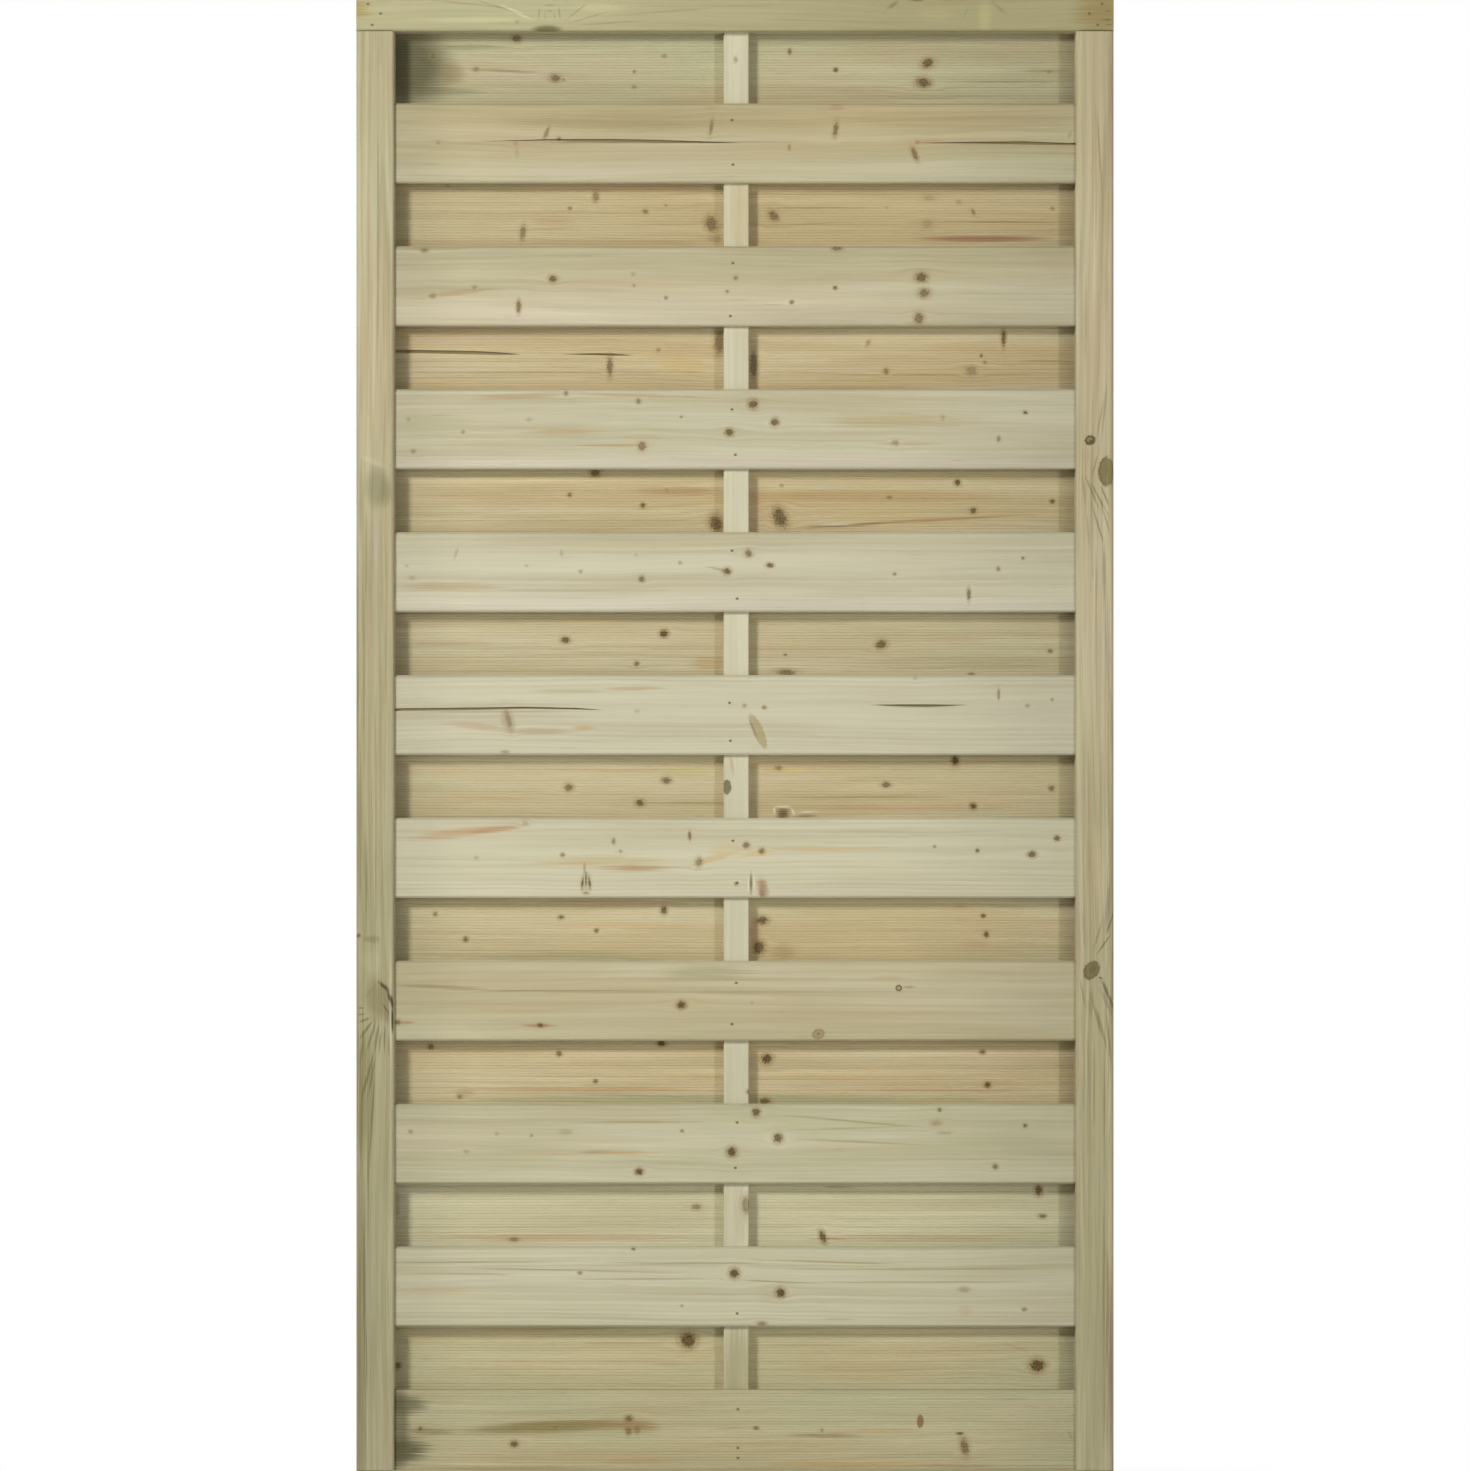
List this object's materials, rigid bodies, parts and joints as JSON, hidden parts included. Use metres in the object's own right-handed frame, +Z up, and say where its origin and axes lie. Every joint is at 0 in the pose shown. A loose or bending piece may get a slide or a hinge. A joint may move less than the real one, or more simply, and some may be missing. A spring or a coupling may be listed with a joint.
{
  "type": "slatted wooden fence panel",
  "caption": "Double-sided slatted fence panel: a planed softwood frame whose grooved uprights hold two staggered layers of boards, nailed to an upright batten between them.",
  "frame": {"origin": "middle of the footprint, on the underside of the bottom rail", "axes": "+Z up along the height, +X along the width to the right seen from the front, -Y towards the front, whose top gap shows the back layer"},
  "size_m": [0.9, 0.045, 1.8],
  "materials": {
    "frame_timber": "planed softwood with a pale green preservative tint",
    "slat_timber": "planed outside and reeded inside, pale green preservative tint",
    "batten_timber": "planed pale softwood",
    "fasteners": "dull galvanised wire"
  },
  "bodies": {
    "root": {"top_rail": "frame_timber", "bottom_rail": "frame_timber", "left_stile": "frame_timber", "right_stile": "frame_timber", "front_slat_01": "slat_timber", "front_slat_02": "slat_timber", "front_slat_03": "slat_timber", "front_slat_04": "slat_timber", "front_slat_05": "slat_timber", "front_slat_06": "slat_timber", "front_slat_07": "slat_timber", "front_slat_08": "slat_timber", "front_slat_09": "slat_timber", "front_slat_10": "slat_timber", "back_slat_01": "slat_timber", "back_slat_02": "slat_timber", "back_slat_03": "slat_timber", "back_slat_04": "slat_timber", "back_slat_05": "slat_timber", "back_slat_06": "slat_timber", "back_slat_07": "slat_timber", "back_slat_08": "slat_timber", "back_slat_09": "slat_timber", "back_slat_10": "slat_timber", "centre_batten": "batten_timber", "front_slat_brads": "fasteners", "back_slat_brads": "fasteners", "corner_pins": "fasteners"}
  },
  "joints": []
}
